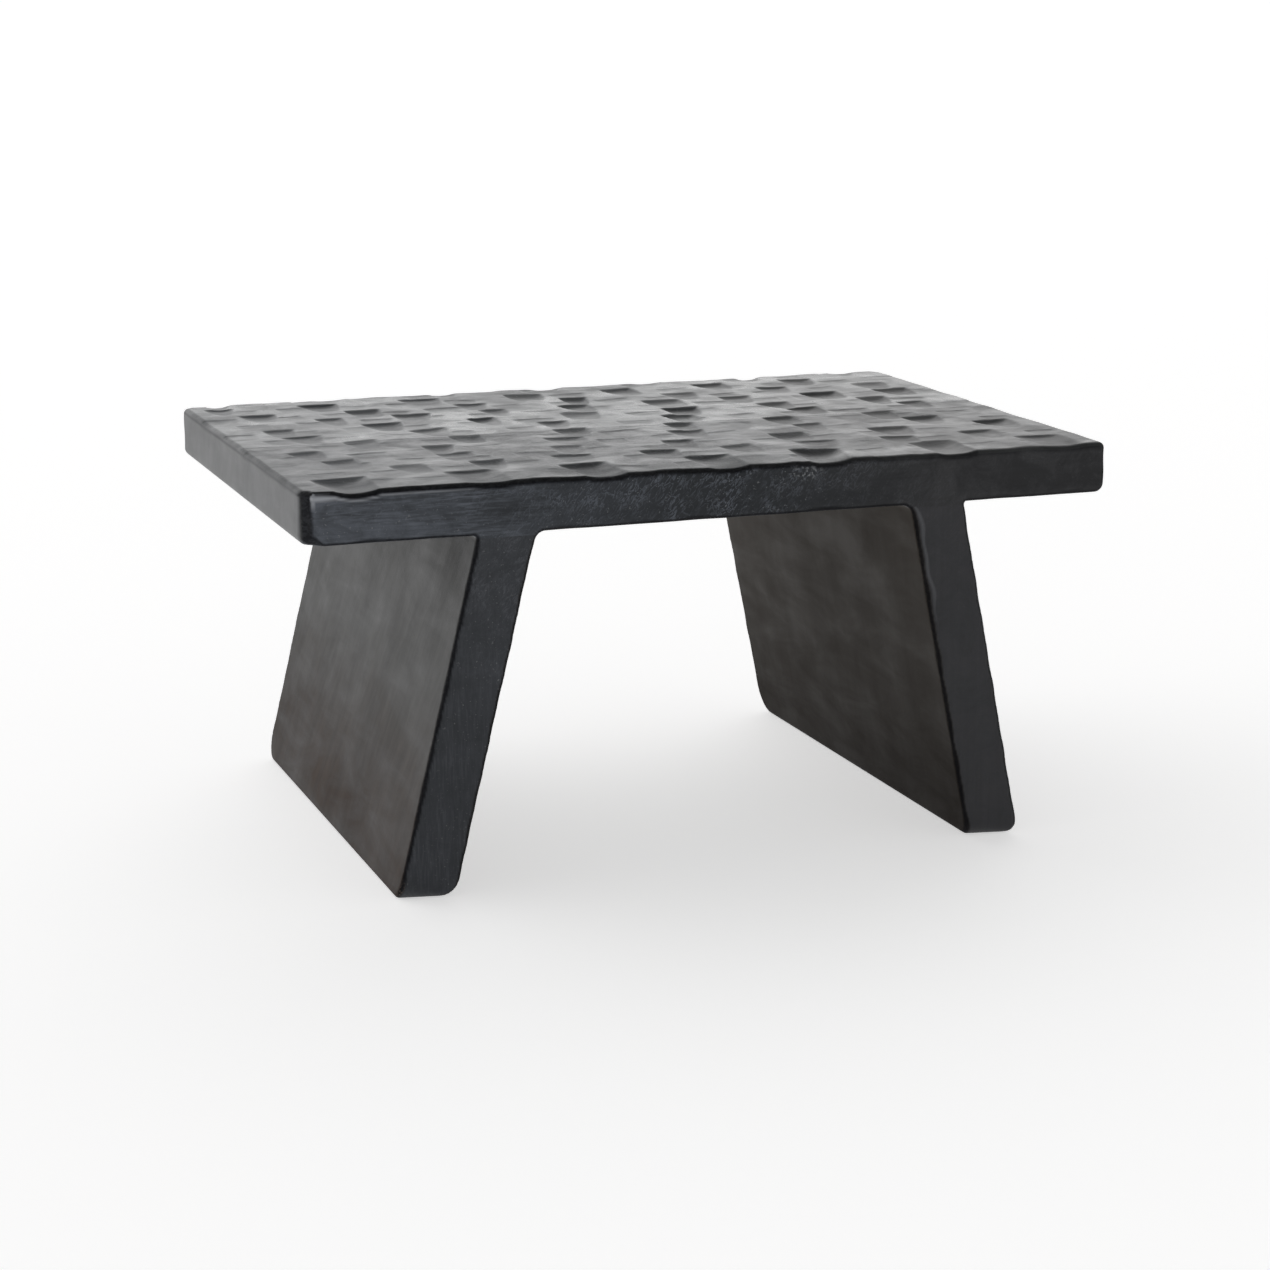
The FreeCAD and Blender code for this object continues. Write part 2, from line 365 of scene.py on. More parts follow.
def cut_slope(x, y):
    """Steepness of the cuts at places in plan."""
    reach = 0.3 * MM
    along_x = cut_depth(x + reach, y) - cut_depth(x - reach, y)
    along_y = cut_depth(x, y + reach) - cut_depth(x, y - reach)
    return np.hypot(along_x, along_y) / (2 * reach)


def strokes(x, y):
    """Strokes of the chisel between the cuts, from 0 to 1: short winding ones on long ones."""
    short = np.sin(230 * x + 9 * np.sin(21 * y) + 1.0) * np.sin(62 * y + 3 * np.sin(31 * x))
    long = 0.6 * np.sin(141 * x - 35 * y + 2.0)
    return 0.5 + (short + long) / (2 * (1 + 0.6))


def seat_top(x, y, end):
    """Height of a gouged seat board at places in plan."""
    deep = cut_depth(x, y)
    near_edge = ease(np.maximum(y - REAR, FRONT - y), *EDGE_RIM_REACH)
    gouged = (deep + np.hypot(deep, CUT_RIM + (EDGE_RIM - CUT_RIM) * near_edge)) / 2
    return TOP - gouged - STROKES[end] * strokes(x, y) - SWELL * ripple(SWELL_WAVES, x, y, 0)


def gouged_body(x, y, z, end):
    """Distance to the whole body with the gouged top of one seat board."""
    return bevelled_and(sanded_body(x, y, z), z - seat_top(x, y, end), TOP_ARRIS)


# Meshing, by surface nets


def lattice(low, high):
    """Places of the mesh's lattice along one axis; every piece uses the same lattice."""
    first = math.floor(low / STEP) - LATTICE_MARGIN
    last = math.ceil(high / STEP) + LATTICE_MARGIN
    return np.arange(first, last + 1) * STEP


def crossed_cells(inside):
    """Cells of the lattice that the surface crosses, and a grid with the number of each, or -1."""
    size = [n - 1 for n in inside.shape]
    corners = [inside[i:i + size[0], j:j + size[1], k:k + size[2]] for i, j, k in CELL_CORNERS]
    count = sum(corner.astype(np.int8) for corner in corners)
    cells = np.argwhere((count > 0) & (count < len(CELL_CORNERS)))
    number = np.full(size, -1)
    number[tuple(cells.T)] = np.arange(len(cells))
    return cells, number


def mean_crossings(values, cells):
    """Mean place, within each cell, of the points where its edges cross the surface."""
    corner = {place: values[tuple((cells + place).T)] for place in CELL_CORNERS}
    total = np.zeros((len(cells), 3))
    crossings = np.zeros(len(cells))
    for start in CELL_CORNERS:
        for axis in range(3):
            if start[axis]:
                continue
            stop = tuple(1 if a == axis else start[a] for a in range(3))
            crossed = (corner[start] < 0) != (corner[stop] < 0)
            share = corner[start][crossed] / (corner[start][crossed] - corner[stop][crossed])
            place = np.tile(np.array(start, float), (len(share), 1))
            place[:, axis] = share
            total[crossed] += place
            crossings[crossed] += 1
    return total / crossings[:, None]


def facing_quads(inside, number):
    """Quads about the lattice edges that the surface crosses, facing outwards."""
    size = number.shape
    quads = []
    for axis in range(3):
        u, v = (axis + 1) % 3, (axis + 2) % 3
        first = inside.take(range(size[axis]), axis)
        second = inside.take(range(1, size[axis] + 1), axis)
        edges = np.argwhere(first != second)
        edges = edges[(edges[:, u] > 0) & (edges[:, v] > 0)]
        edges = edges[(edges[:, u] < size[u]) & (edges[:, v] < size[v])]
        ring = []
        for du, dv in ((-1, -1), (0, -1), (0, 0), (-1, 0)):
            cell = edges.copy()
            cell[:, u] += du
            cell[:, v] += dv
            ring.append(number[tuple(cell.T)])
        ring = np.stack(ring, 1)
        outward = first[tuple(edges.T)]
        ring[~outward] = ring[~outward, ::-1]
        quads.append(ring)
    return np.concatenate(quads)


def settle(field, points):
    """Moves points onto a field's zero level."""
    for _ in range(SETTLE_ROUNDS):
        value = field(*points.T)
        ahead = [field(*(points + SETTLE_PROBE * np.eye(3)[axis]).T) for axis in range(3)]
        slope = np.stack([(a - value) / SETTLE_PROBE for a in ahead], 1)
        steep = np.maximum((slope**2).sum(1), LEAST_SLOPE_SQUARED)
        move = slope * (value / steep)[:, None]
        length = np.maximum(np.linalg.norm(move, axis=1), LEAST_MOVE)
        points = points - move * np.minimum(1, LONGEST_MOVE / length)[:, None]
    return points


def surface(field, low, high):
    """Points and quads of a field's zero level in a box."""
    axes = [lattice(a, b) for a, b in zip(low, high)]
    values = field(axes[0][:, None, None], axes[1][None, :, None], axes[2][None, None, :])
    values = np.broadcast_to(values, [len(axis) for axis in axes])
    inside = values < 0
    cells, number = crossed_cells(inside)
    origin = np.array([axis[0] for axis in axes])
    points = origin + (cells + mean_crossings(values, cells)) * STEP
    return settle(field, points), facing_quads(inside, number)


# Marks that the stain, the painted shade and the painted highlights follow. At an arris, places and
# widths are in bevels from the line where its faces would meet, negative inwards

# Painted shade on the arrises, for their dark reflections: wider on the top's left half, paler on its
# right half and at its left end
UPRIGHT_DARK = (-1.3, -0.8)
TOP_DARK = (-1.35, -0.9)
TOP_DARK_DRIFT = 0.3
TOP_DARK_FADE = 0.45
HALVES_REACH = (20 * MM, 200 * MM)
PALE_END = 0.6
PALE_END_REACH = (9 * MM, 3 * MM)
PALE_END_START = (5 * MM, 14 * MM)

# Painted highlights at the front: below the top's left half, in steps and more at the end, beside its
# left corner, and beside the right leg's left face
TOP_HIGHLIGHT = {"middle": -1.5, "width": 0.3, "end_width": 0.4, "end_strength": 0.35}
TOP_HIGHLIGHT_END = (28 * MM, 9 * MM)
TOP_HIGHLIGHT_STEPS = ((0.5, 125 * MM, 70 * MM), (0.25, 60 * MM, 25 * MM))
CORNER_HIGHLIGHT = {"middle": -1.25, "width": 0.25}
CORNER_HIGHLIGHT_BELOW_TOP = (-13 * MM, -6 * MM)
LEG_HIGHLIGHT = {"middle": -2.1, "width": 0.7}
LEG_HIGHLIGHT_STRENGTH = 0.16
LEG_HIGHLIGHT_HEIGHTS = (110 * MM, 170 * MM)
HIGHLIGHT_DEPTH = 1.5 * MM

# Cuts: how far below the top their marks reach, the depths from which a cut has its mark and its tone,
# and the lighter ridge beside a steep cut, rubbed stain and partly a painted highlight, clear of the
# top's edges
CUT_REACH = 8 * MM
CUT_MARK_DEPTHS = (0.05 * MM, 0.6 * MM)
CUT_TONE_DEPTHS = (0, 0.06 * MM)
RIDGE_WIDTH = 0.9 * MM
RIDGE_SLOPES = (0.15, 0.5)
RIDGE_LEAST_SLOPE = 0.05
RIDGE_LEAST_DEPTH = -0.25 * MM
RIDGE_FRONT_CLEAR = (3 * MM, 8 * MM)
RIDGE_CLEAR = (1 * MM, 4 * MM)


def band(value, middle, width):
    """Soft band about a value, 1 in its middle."""
    return np.exp(-(((value - middle) / width) ** 2))


# Painted shade on the arrises, standing in for their dark reflections
def painted_arris_shade_mark(x, y, upright, level):
    leftward, rightward = ease(-x, *HALVES_REACH), ease(x, *HALVES_REACH)
    width = 1 + TOP_DARK_DRIFT * (leftward - rightward)
    top = ease(level / width, *TOP_DARK) * (1 - TOP_DARK_FADE * rightward)
    pale = PALE_END * towards_end(-x, *PALE_END_REACH) * ease(y - FRONT, *PALE_END_START)
    return np.maximum(ease(upright, *UPRIGHT_DARK), top) * (1 - pale)


# Painted highlights along the front's edges and beside the right leg's left face
def painted_highlight_mark(x, y, z, upright, level):
    at_end = towards_end(-x, *TOP_HIGHLIGHT_END)
    strength = sum(share * towards_end(-x, start, full) for share, start, full in TOP_HIGHLIGHT_STEPS)
    below_top = band(level, TOP_HIGHLIGHT["middle"], TOP_HIGHLIGHT["width"] + TOP_HIGHLIGHT["end_width"] * at_end)
    below_top = below_top * (strength + TOP_HIGHLIGHT["end_strength"] * at_end)
    beside_corner = band(upright, **CORNER_HIGHLIGHT) * ease(z - TOP, *CORNER_HIGHLIGHT_BELOW_TOP) * (x < 0)
    left_face = (x > 0) & (x < leg_middle(LEGS["right"], z)) & (z < UNDERSIDE)
    beside_leg = LEG_HIGHLIGHT_STRENGTH * band(upright, **LEG_HIGHLIGHT) * ease(z, *LEG_HIGHLIGHT_HEIGHTS) * left_face
    return np.maximum(np.maximum(below_top, beside_corner), beside_leg) * (y < FRONT + HIGHLIGHT_DEPTH)


def cut_marks(x, y, z):
    deep, tone = cut_field(x, y)
    on_top = z > TOP - CUT_REACH
    steep = cut_slope(x, y)
    from_edge = np.abs(deep) / np.maximum(steep, RIDGE_LEAST_SLOPE)
    ridge = band(from_edge, 0, RIDGE_WIDTH) * ease(steep, *RIDGE_SLOPES) * (deep > RIDGE_LEAST_DEPTH)
    clear = ease(y - FRONT, *RIDGE_FRONT_CLEAR) * ease(REAR - y, *RIDGE_CLEAR)
    clear = clear * ease(HALF_LENGTH - np.abs(x), *RIDGE_CLEAR)
    return {
        "cut": ease(deep, *CUT_MARK_DEPTHS) * on_top,
        "tone": tone * ease(deep, *CUT_TONE_DEPTHS) * on_top,
        "ridge": ridge * clear * on_top,
    }


def mark(piece, end):
    """Stores where a board's surface is an arris with painted shade, cut by the gouge, or has a painted
    highlight.
    """
    mesh = piece.data
    places = np.empty(3 * len(mesh.vertices))
    mesh.vertices.foreach_get("co", places)
    x, y, z = places.reshape(-1, 3).T
    outline, side = front_outline(x, z), side_outline(x, y, z)
    upright = np.minimum(outline, side) / bevel_size(x, y, z)
    level = np.minimum(np.maximum(outline, side), z - seat_top(x, y, end)) / TOP_ARRIS
    marks = cut_marks(x, y, z)
    marks["arris"] = painted_arris_shade_mark(x, y, upright, level)
    marks["painted_highlight"] = painted_highlight_mark(x, y, z, upright, level)
    for name, values in marks.items():
        mesh.attributes.new(name, "FLOAT", "POINT").data.foreach_set("value", values)


# Boards


def part_off(bm, place, normal):
    """Cuts a closed mesh with a plane, drops what is beyond it and closes the cut."""
    cut = bmesh.ops.bisect_plane(
        bm,
        geom=bm.verts[:] + bm.edges[:] + bm.faces[:],
        dist=PARTING_TOLERANCE,
        plane_co=place,
        plane_no=normal,
        clear_outer=True,
    )
    edges = [e for e in cut["geom_cut"] if isinstance(e, bmesh.types.BMEdge) and e.is_boundary]
    for edge in edges:
        edge.smooth = False
    bmesh.ops.edgeloop_fill(bm, edges=edges)


def flatten_underside(bm):
    """Makes each flat stretch of the seat's underside one face."""
    flat = []
    for face in bm.faces:
        level = abs(face.calc_center_median().z - UNDERSIDE) < FLAT_TOLERANCE
        if level and face.normal.z < DOWNWARD:
            flat.append(face)
    for face in bmesh.ops.dissolve_faces(bm, faces=flat)["region"]:
        face.smooth = False


def board(name, end, points, quads, cuts):
    """One board: the body's mesh parted along the board's joints."""
    mesh = bpy.data.meshes.new(name)
    mesh.from_pydata(points.tolist(), [], quads.tolist())
    bm = bmesh.new()
    bm.from_mesh(mesh)
    for face in bm.faces:
        face.smooth = True
    for place, normal in cuts:
        part_off(bm, place, normal)
    bm.normal_update()
    flatten_underside(bm)
    bm.to_mesh(mesh)
    bm.free()
    piece = bpy.data.objects.new("finished_" + name, mesh)
    bpy.context.collection.objects.link(piece)
    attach(piece, "root")
    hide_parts(name)
    mark(piece, end)
    return piece


def glue_cut(rearward):
    """Plane along the glue line; what lies beyond it, to the rear or to the front, is dropped."""
    return Vector((0, GLUE_LINE, 0)), Vector((0, rearward, 0))


def leg_cut(upward):
    """Plane between the legs and the seat; what lies beyond it, above or below, is dropped."""
    return Vector((0, 0, LEG_TOP)), Vector((0, 0, upward))


def seat_board(end, rearward, front, rear):
    def oversize(x, y, z):
        """The board with spare wood at its joints, so that its mesh is closed before it is parted."""
        beyond = np.maximum(LEG_TOP - z, rearward * (y - GLUE_LINE)) - SPARE
        return np.maximum(gouged_body(x, y, z, end), beyond)

    low, high = (-HALF_LENGTH, front, LEG_TOP - MARGIN), (HALF_LENGTH, rear, TOP)
    points, quads = surface(oversize, low, high)
    return board(f"seat_{end}_board", end, points, quads, (leg_cut(-1), glue_cut(rearward)))


def seat_boards():
    return {
        "seat_front_board": seat_board("front", 1, FRONT, GLUE_LINE + MARGIN),
        "seat_rear_board": seat_board("rear", -1, GLUE_LINE - MARGIN, REAR),
    }


def leg_boards(side):
    low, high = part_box(f"{side}_leg_front_board")
    points, quads = surface(
        sanded_body, (low.x - MARGIN, FRONT, 0), (high.x + MARGIN, REAR, LEG_TOP + MARGIN)
    )
    boards = {}
    for end, rearward in (("front", 1), ("rear", -1)):
        name = f"{side}_leg_{end}_board"
        boards[name] = board(name, end, points, quads, (leg_cut(1), glue_cut(rearward)))
    return boards


# Materials


class Graph:
    """A node tree and the nodes that its materials share."""

    def __init__(self, tree):
        self.tree = tree
        tree.nodes.clear()

    def add(self, kind, sockets=None, **settings):
        node = self.tree.nodes.new(kind)
        for name, value in settings.items():
            setattr(node, name, value)
        for name, value in (sockets or {}).items():
            if isinstance(value, bpy.types.NodeSocket):
                self.tree.links.new(value, node.inputs[name])
            else:
                node.inputs[name].default_value = value
        return node

    def coordinates(self):
        return self.add("ShaderNodeTexCoord").outputs["Object"]

    def place(self, scale):
        """Object coordinates, scaled to the size of a pattern."""
        sockets = {"Vector": self.coordinates(), "Scale": scale}
        return self.add("ShaderNodeMapping", sockets).outputs["Vector"]

    def slanting(self, sizes, turn):
        """Object coordinates, turned first and then divided by the sizes of a pattern."""
        sockets = {"Vector": self.coordinates(), "Rotation": turn, "Scale": sizes}
        return self.add("ShaderNodeMapping", sockets, vector_type="TEXTURE").outputs["Vector"]

    def noise(self, place, detail=4.0, roughness=0.55, distortion=0.0):
        sockets = {
            "Vector": place,
            "Scale": 1.0,
            "Detail": detail,
            "Roughness": roughness,
            "Distortion": distortion,
        }
        return self.add("ShaderNodeTexNoise", sockets).outputs["Fac"]

    def span(self, value, low, high, to_low=0.0, to_high=1.0):
        """A value brought from one range to another, and kept in it."""
        sockets = {"Value": value, "From Min": low, "From Max": high, "To Min": to_low, "To Max": to_high}
        return self.add("ShaderNodeMapRange", sockets).outputs["Result"]

    def between(self, share, low, high):
        return self.span(share, 0.0, 1.0, low, high)

    def math(self, operation, a, b=0.0):
        return self.add("ShaderNodeMath", {0: a, 1: b}, operation=operation).outputs[0]

    def product(self, result, *others):
        for other in others:
            result = self.math("MULTIPLY", result, other)
        return result

    def total(self, result, *others):
        for other in others:
            result = self.math("ADD", result, other)
        return result

    def attribute(self, name):
        return self.add("ShaderNodeAttribute", attribute_name=name).outputs["Fac"]

    def scaled(self, colour, share):
        if not isinstance(colour, bpy.types.NodeSocket):
            colour = colour[:3]
        sockets = {0: colour, "Scale": share}
        return self.add("ShaderNodeVectorMath", sockets, operation="SCALE").outputs["Vector"]

    def mix(self, share, a, b):
        return self.add("ShaderNodeMix", {0: share, 6: a, 7: b}, data_type="RGBA").outputs[2]

    def bump(self, height, strength, distance):
        sockets = {"Height": height, "Strength": strength, "Distance": distance}
        return self.add("ShaderNodeBump", sockets).outputs["Normal"]

    def shade(self, sockets):
        """Gives the material's surface a shader."""
        shader = self.add("ShaderNodeBsdfPrincipled", sockets)
        self.add("ShaderNodeOutputMaterial", {"Surface": shader.outputs["BSDF"]})


# Finishes: linear colours, roughness, and how strong each trait is
SEAT_FINISH = {
    "dark": (0.004, 0.0043, 0.005, 1),
    "light": (0.013, 0.0138, 0.016, 1),
    "streak": (0.090, 0.098, 0.115, 1),
    "top": (0.087, 0.089, 0.088, 1),
    "fleck": (0.20, 0.205, 0.21, 1),
    "broad": (0.130, 0.130, 0.130, 1),
    "worn_and_floor_shade": (0.130, 0.127, 0.123, 1),
    "worn_end": 0.75,
    "brown": 0.0,
    "wrinkled": 0.75,
    "streaked": 1.0,
    "fibrous": 0.4,
    "left_fibrous": 1.0,
    "mottled": 0.85,
    "cloudy": (0.82, 1.12),
    "brushed": (0.95, 1.05),
    "rough": 0.47,
    "matt_sides": 0.04,
    "matt_feet": 0.0,
    "leather": 0.5,
    "left_leather": 0.25,
    "burnish": 0.15,
    "right_sheen": (0.80, 0.79, 0.80, 1),
}
FRONT_FINISH = SEAT_FINISH | {"leather": 2.4, "burnish": 0.09}
LEG_FINISH = {
    "dark": (0.009, 0.0094, 0.0110, 1),
    "light": (0.024, 0.0248, 0.0285, 1),
    "streak": (0.06, 0.062, 0.069, 1),
    "top": (0.02, 0.02, 0.02, 1),
    "fleck": (0.13, 0.13, 0.13, 1),
    "broad": (0.040, 0.0392, 0.0375, 1),
    # Worn brown near the floor, darker than the broad faces as painted shade
    "worn_and_floor_shade": (0.020, 0.0095, 0.004, 1),
    "worn_end": 0.5,
    "brown": 0.9,
    "wrinkled": 0.9,
    "streaked": 0.35,
    "fibrous": 0.25,
    "left_fibrous": 0.25,
    "mottled": 0.72,
    "cloudy": (0.60, 1.26),
    "brushed": (0.80, 1.18),
    "rough": 0.46,
    "matt_sides": 0.078,
    "matt_feet": 0.075,
    "leather": 1.6,
    "left_leather": 0.8,
    "burnish": 0.0,
    "right_sheen": (0.96, 0.96, 0.98, 1),
}

# Colours that the finishes share: painted shade on the legs' inner faces from their top to the floor,
# painted shade on the arrises, painted highlights and scuffed feet
INNER_FACE_SHADE = ((0.036, 0.027, 0.019, 1), (0.007, 0.005, 0.004, 1))
PAINTED_ARRIS_SHADE = (0.004, 0.004, 0.005, 1)
PAINTED_HIGHLIGHT = (0.33, 0.34, 0.36, 1)
SCUFFED_WOOD = (0.09, 0.07, 0.058, 1)

# Tints of the wax's sheen: on the legs' outer and inner faces from their top to the floor, darker and
# warmer towards the floor as painted shade, on the left half of the edges, and on the arrises, dark as
# painted shade
OUTER_SHEEN = ((1.0, 1.0, 1.0, 1), (0.65, 0.59, 0.57, 1))
INNER_SHEEN = ((1.0, 0.96, 0.90, 1), (0.51, 0.47, 0.41, 1))
LEFT_SHEEN = (0.88, 0.94, 1.0, 1)
ARRIS_SHEEN = (0.06, 0.06, 0.07, 1)
WAX_IOR = 1.42

# Spread of the roughness, its rise on the arrises and inner faces, and the share of the burnish in cuts
ROUGH_SPREAD = (-0.06, 0.07)
MATT_ARRIS = 0.2
CUT_BURNISH = 0.15

# Relief of the stained grain, and the shares of relief and flecks that the broad faces have
RELIEF_STRENGTH = 0.3
RELIEF_DEPTH = 0.3 * MM
BROAD_RELIEF = 0.4
BROAD_FLECKS = 0.1

# Patterns of the stain by waves to a metre: along and across the grain, or along x, y and z
GRAIN_PATTERNS = {
    "streaks": {"waves": (70.0, 760.0), "detail": 4.0, "distortion": 0.4},
    "fibres": {"waves": (9.0, 380.0), "detail": 6.0, "roughness": 0.65},
    "patches": {"waves": (8.0, 24.0), "detail": 6.0, "roughness": 0.62},
}
PATTERNS = {
    "flecks": {"waves": (700.0, 700.0, 700.0), "detail": 2.0},
    "smudges": {"waves": (38.0, 52.0, 45.0), "detail": 5.0, "roughness": 0.65, "distortion": 0.6},
    "clouds": {"waves": (40.0, 13.0, 42.0), "detail": 5.0, "roughness": 0.6, "distortion": 0.5},
    "crinkle": {"waves": (230.0, 300.0, 300.0), "detail": 3.0, "roughness": 0.55, "distortion": 1.5},
}

# Slanting patterns: brush strokes on the broad faces, and folds like those of leather
BRUSH_SIZES = (30 * MM, 7 * MM, 40 * MM)
BRUSH_TURN = (math.radians(20), 0, 0)
FOLD_SIZES = (2.6 * MM, 2.6 * MM, 6.5 * MM)
FOLD_TURN = (0, math.radians(38), 0)
FOLD_EDGE = 0.5

# A small scrape on the seat's front, and the oval in the middle of the top that is polished by use
SCRAPE_PLACE = (52 * MM, 0, TOP - 7 * MM)
SCRAPE_SCALE = (80.0, 0.0, 170.0)
POLISH_SCALE = (5.3, 7.7, 0.0)

# Traits of the stain and of its painted shade and highlights: what each one follows, the values between
# which it changes, and its own values there where they aren't 0 and 1
STAIN_TRAITS = {
    "leftward": ("x", -0.09, -0.16),
    "midward": ("x", 0.13, 0.0, 0.1, 1.0),
    "rightward": ("x", 0.02, 0.14),
    "left_end": ("x", -0.02, -0.20),
    "upper": ("z", 0.12, 0.19),
    "lower": ("z", 0.20, 0.02, 0.25, 1.0),
    "floorward": ("z", 0.12, 0.02),
    "worn_height": ("z", 0.10, 0.19, 0.3, 1.0),
    "foot": ("z", 0.014, 0.002),
    "upward": ("facing_up", 0.35, 0.65),
    "broad": ("facing_aside", 0.6, 0.85),
    "inner": ("facing_out", -0.02, -0.08),
    "fibre": ("fibres", 0.35, 0.68, -0.5, 0.5),
    "fibre_relief": ("fibres", 0.2, 0.8),
    "streak": ("streaks", 0.45, 0.70),
    "streak_relief": ("streaks", 0.2, 0.8, 0.0, 0.5),
    "worn_patch": ("patches", 0.3, 0.6),
    "fleck_patch": ("patches", 0.4, 0.62, 0.15, 0.8),
    "rough_patch": ("patches", 0.3, 0.7),
    "fleck": ("flecks", 0.66, 0.73),
    "scraped_fleck": ("flecks", 0.52, 0.66),
    "scuffed_fleck": ("flecks", 0.50, 0.62),
    "smudge": ("smudges", 0.32, 0.68, 0.45, 1.35),
    "leather_smudge": ("smudges", 0.40, 0.58, 0.15, 1.0),
    "right_smudge": ("smudges", 0.42, 0.62, 0.0, 0.11),
    "wax_smudge": ("smudges", 0.3, 0.7, 0.55, 1.0),
    "ridge_smudge": ("smudges", 0.40, 0.62, 0.1, 0.9),
    "mottle": ("clouds", 0.30, 0.66),
    "cloud": ("clouds", 0.3, 0.7),
    "brush": ("brushed", 0.35, 0.65),
    "wrinkle": ("folds", 0.06, 0.0),
    "crease": ("folds", 0.14, 0.0),
    "crinkled": ("crinkle", 0.42, 0.62, 0.92, 0.8),
    "uneven_rough": ("uneven", 0.35, 0.65, -0.08, 0.08),
    "uneven_relief": ("uneven", 0.2, 0.8, 0.0, 2.0),
    "cut_wax": ("cut", 0.0, 1.0, 1.0, 0.8),
    "cut_tone": ("tone", -1.0, 1.0, 0.45, 1.55),
    "painted_highlight": ("painted_highlight", 0.05, 0.9),
    "scraped": ("from_scrape", 1.0, 0.2),
    "polish": ("from_middle", 0.3, 1.0, 0.045, -0.01),
}


class StainedWood(Graph):
    """Black stained and waxed wood with its grain along an axis."""

    def __init__(self, tree, grain, finish):
        super().__init__(tree)
        self.finish = finish
        self.sources = self.places() | self.patterns(grain)
        for name in ("arris", "cut", "tone", "ridge", "painted_highlight"):
            self.sources[name] = self.attribute(name)
        self.leftward = self.trait("leftward")
        self.midward = self.trait("midward")
        self.rightward = self.trait("rightward")
        self.floorward = self.trait("floorward")
        self.upward = self.trait("upward")
        self.broad = self.trait("broad")
        self.sources["uneven"] = self.between(self.broad, self.sources["smudges"], self.sources["clouds"])
        self.shaded = self.product(self.trait("inner"), finish["brown"])
        self.fibrous = self.between(self.leftward, finish["fibrous"], finish["left_fibrous"])
        self.leather = self.product(
            self.midward,
            self.between(self.leftward, 1.0, finish["left_leather"]),
            self.trait("leather_smudge"),
            self.trait("upper"),
        )
        # Painted shade on the arrises, broken up by the crinkle
        self.painted_arris_shade = self.product(self.sources["arris"], self.trait("crinkled"))

    def places(self):
        """Where a point of the surface is and which way it faces."""
        normal = self.add("ShaderNodeNewGeometry").outputs["Normal"]
        facing = self.add("ShaderNodeSeparateXYZ", {"Vector": normal}).outputs
        place = self.add("ShaderNodeSeparateXYZ", {"Vector": self.coordinates()}).outputs
        scrape = tuple(a * scale for a, scale in zip(SCRAPE_PLACE, SCRAPE_SCALE))
        from_scrape = {0: self.place(SCRAPE_SCALE), 1: scrape}
        from_scrape = self.add("ShaderNodeVectorMath", from_scrape, operation="DISTANCE")
        from_middle = {0: self.place(POLISH_SCALE)}
        from_middle = self.add("ShaderNodeVectorMath", from_middle, operation="LENGTH")
        return {
            "x": place["X"],
            "z": place["Z"],
            "facing_up": facing["Z"],
            "facing_aside": self.math("ABSOLUTE", facing["X"]),
            "facing_out": self.product(place["X"], facing["X"]),
            "from_scrape": from_scrape.outputs["Value"],
            "from_middle": from_middle.outputs["Value"],
        }

    def patterns(self, grain):
        patterns = {}
        for name, settings in GRAIN_PATTERNS.items():
            along, across = settings["waves"]
            waves = [along if axis == grain else across for axis in "xyz"]
            patterns[name] = self.pattern(settings | {"waves": waves})
        for name, settings in PATTERNS.items():
            patterns[name] = self.pattern(settings)
        brush = self.slanting(BRUSH_SIZES, BRUSH_TURN)
        patterns["brushed"] = self.noise(brush, detail=4.0, roughness=0.6)
        fold = self.slanting(FOLD_SIZES, FOLD_TURN)
        folds = self.noise(fold, detail=2.0, roughness=0.5, distortion=0.9)
        patterns["folds"] = self.math("ABSOLUTE", self.math("SUBTRACT", folds, FOLD_EDGE))
        return patterns

    def pattern(self, settings):
        looks = {name: value for name, value in settings.items() if name != "waves"}
        return self.noise(self.place(settings["waves"]), **looks)

    def trait(self, name, *ends):
        """A trait of the stain, its painted shade or its painted highlights, between its own values or the
        given ones.
        """
        source, low, high, *own_ends = STAIN_TRAITS[name]
        return self.span(self.sources[source], low, high, *(ends or own_ends))

    def stain(self):
        """Fibres and streaks to the left, wrinkles like leather in the middle, smooth to the right."""
        finish = self.finish
        fibre = self.product(self.trait("fibre"), self.fibrous)
        stain = self.mix(self.total(fibre, 0.5), finish["dark"], finish["light"])
        streaked = self.product(self.trait("streak", 0.0, finish["streaked"]), self.leftward)
        stain = self.mix(streaked, stain, finish["streak"])
        worn_end = self.product(
            self.trait("left_end", 0.0, finish["worn_end"]),
            self.trait("worn_height"),
            self.trait("worn_patch"),
        )
        stain = self.mix(worn_end, stain, finish["streak"])
        wrinkles = self.product(self.trait("wrinkle"), self.leather, finish["wrinkled"])
        stain = self.mix(wrinkles, stain, finish["streak"])
        stain = self.scaled(stain, self.trait("smudge"))
        clouded = self.product(self.rightward, self.trait("right_smudge"))
        return self.mix(clouded, stain, finish["worn_and_floor_shade"])

    def waxed(self, colour):
        """Haze of wax on the top, in another tone on each cut and facet, and lighter ridges beside cuts,
        rubbed and partly a painted highlight.
        """
        hazed = self.product(self.upward, self.trait("wax_smudge"), self.trait("cut_wax"))
        colour = self.mix(hazed, colour, self.scaled(self.finish["top"], self.trait("cut_tone")))
        # Ridges beside steep cuts: rubbed stain, lighter partly as a painted highlight
        ridge_wear_and_highlight = self.product(self.sources["ridge"], self.trait("ridge_smudge"))
        return self.mix(ridge_wear_and_highlight, colour, self.finish["fleck"])

    def thinned(self, colour):
        """Thin, mottled stain on the broad faces, brown where it is worn and darker towards the floor as
        painted shade, and painted shade on inner faces, darker towards the floor.
        """
        finish = self.finish
        mottle = self.product(self.trait("mottle", finish["mottled"], 1.0), self.broad)
